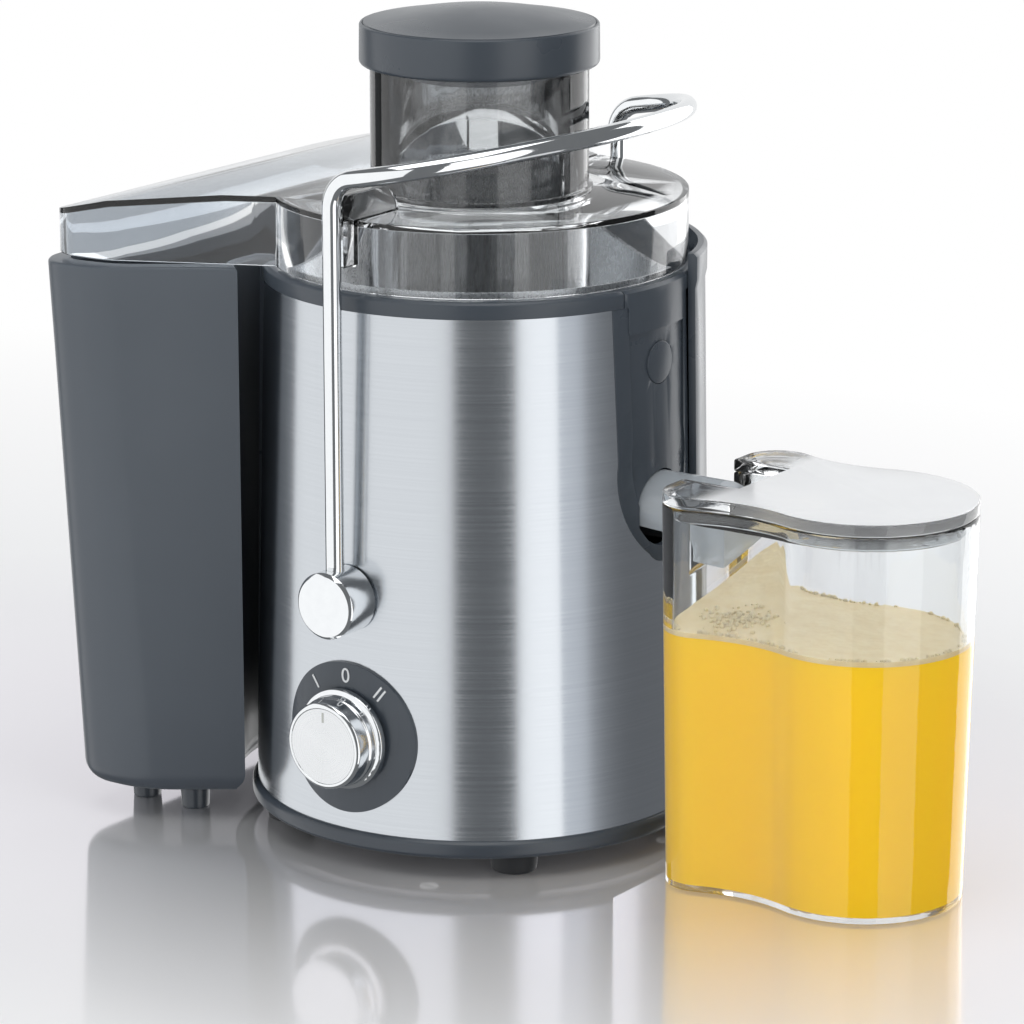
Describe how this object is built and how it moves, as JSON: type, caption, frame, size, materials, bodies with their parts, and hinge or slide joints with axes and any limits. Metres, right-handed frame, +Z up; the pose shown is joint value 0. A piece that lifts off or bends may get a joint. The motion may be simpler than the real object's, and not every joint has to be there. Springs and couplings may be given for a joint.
{
  "type": "centrifugal juicer",
  "caption": "Round steel juicer with a clear lid and feed chute, wire locking handle, turning knob, pulp container on one side and a clear juice jug on the other.",
  "frame": {"origin": "on the motor axis, at the height of the surface that the juicer stands on", "axes": "+Z up along the motor axis, -Y to the front with the knob, +X to the side with the juice jug, -X to the pulp container"},
  "size_m": [0.3092, 0.1747, 0.273],
  "materials": {
    "dark_plastic": "satin moulded dark grey plastic",
    "black_plastic": "matt black inner plastic",
    "brushed_steel": "horizontally brushed stainless steel sheet",
    "chrome": "polished chrome plating",
    "spun_aluminium": "face turned with fine circular lines",
    "rubber": "soft moulded rubber",
    "smoke_clear": "smoke-tinted clear moulded plastic",
    "clear_plastic": "clear moulded plastic",
    "white_plastic": "natural white moulded plastic",
    "electric_steel": "stacked silicon steel laminations",
    "machined_steel": "ground steel",
    "zinc_steel": "zinc-plated pressed steel",
    "copper": "varnished copper wire and copper bars",
    "carbon": "pressed carbon graphite"
  },
  "bodies": {
    "base": {"base_ring": "dark_plastic", "base_plate": "black_plastic", "base_screws": "zinc_steel", "rubber_feet": "rubber", "inner_housing": "black_plastic", "steel_shell": "brushed_steel", "rear_cover": "dark_plastic", "collar_ring": "dark_plastic", "panel_frame": "dark_plastic", "spout_panel": "dark_plastic", "panel_plug": "dark_plastic", "cord_inlet": "rubber", "dial_plate": "dark_plastic", "juice_bowl": "smoke_clear", "shaft_seal": "rubber", "motor_stator": "electric_steel", "field_windings": "copper", "lower_bracket": "zinc_steel", "motor_bolts": "zinc_steel", "motor_mounts": "rubber", "upper_bearing": "machined_steel", "lower_bearing": "machined_steel", "carbon_brushes": "carbon", "brush_holders": "white_plastic", "suppression_capacitor": "white_plastic", "front_bushing": "white_plastic", "rear_bushing": "white_plastic", "interlock_switch": "black_plastic", "rotary_switch": "black_plastic"},
    "spinner": {"motor_shaft": "machined_steel", "motor_rotor": "electric_steel", "commutator": "copper", "cooling_fan": "white_plastic", "drive_coupling": "black_plastic", "basket_frame": "white_plastic", "filter_mesh": "machined_steel", "grater_disc": "machined_steel"},
    "lid": {"lid": "smoke_clear"},
    "pusher": {"pusher_body": "smoke_clear", "pusher_cap": "dark_plastic"},
    "handle": {"handle_rod": "chrome", "front_hub": "chrome", "rear_hub": "chrome", "front_axle": "machined_steel", "rear_axle": "machined_steel", "interlock_cam": "white_plastic"},
    "interlock_plunger": {"interlock_plunger": "white_plastic"},
    "knob": {"knob_body": "chrome", "knob_face": "spun_aluminium", "switch_spindle": "machined_steel"},
    "pulp_container": {"pulp_container": "dark_plastic", "container_feet": "dark_plastic"},
    "jug": {"jug_body": "clear_plastic"},
    "jug_lid": {"jug_lid": "clear_plastic"}
  },
  "joints": [
    {"name": "handle_swing", "type": "hinge", "parent": "base", "child": "handle", "pos_m": [0, 0, 0.0906], "axis": [0, 1, 0], "range_deg": [0, 40]},
    {"name": "lid_lift", "type": "slide", "parent": "base", "child": "lid", "axis": [0, 0, 1], "range_m": [0, 0.06]},
    {"name": "pusher_slide", "type": "slide", "parent": "lid", "child": "pusher", "axis": [0, 0, 1], "range_m": [0, 0.085]},
    {"name": "basket_spin", "type": "hinge", "parent": "base", "child": "spinner", "pos_m": [0, 0, 0.1], "axis": [0, 0, 1], "continuous": true},
    {"name": "knob_turn", "type": "hinge", "parent": "base", "child": "knob", "pos_m": [0, -0.08, 0.044], "axis": [0, 1, 0], "range_deg": [-38, 38]},
    {"name": "interlock_release", "type": "slide", "parent": "base", "child": "interlock_plunger", "axis": [0, 0, 1], "range_m": [0, 0.0017]},
    {"name": "container_slide", "type": "slide", "parent": "base", "child": "pulp_container", "axis": [-1, 0, 0], "range_m": [0, 0.12]},
    {"name": "jug_slide", "type": "slide", "parent": "base", "child": "jug", "axis": [1, 0, 0], "range_m": [0, 0.12]},
    {"name": "jug_lid_lift", "type": "slide", "parent": "jug", "child": "jug_lid", "axis": [0, 0, 1], "range_m": [0, 0.022]}
  ],
  "couplings": [
    {"joint": "lid_lift", "follows": "handle_swing", "m_per_rad": 0.085858},
    {"joint": "interlock_release", "follows": "handle_swing", "m_per_rad": 0.002363}
  ]
}
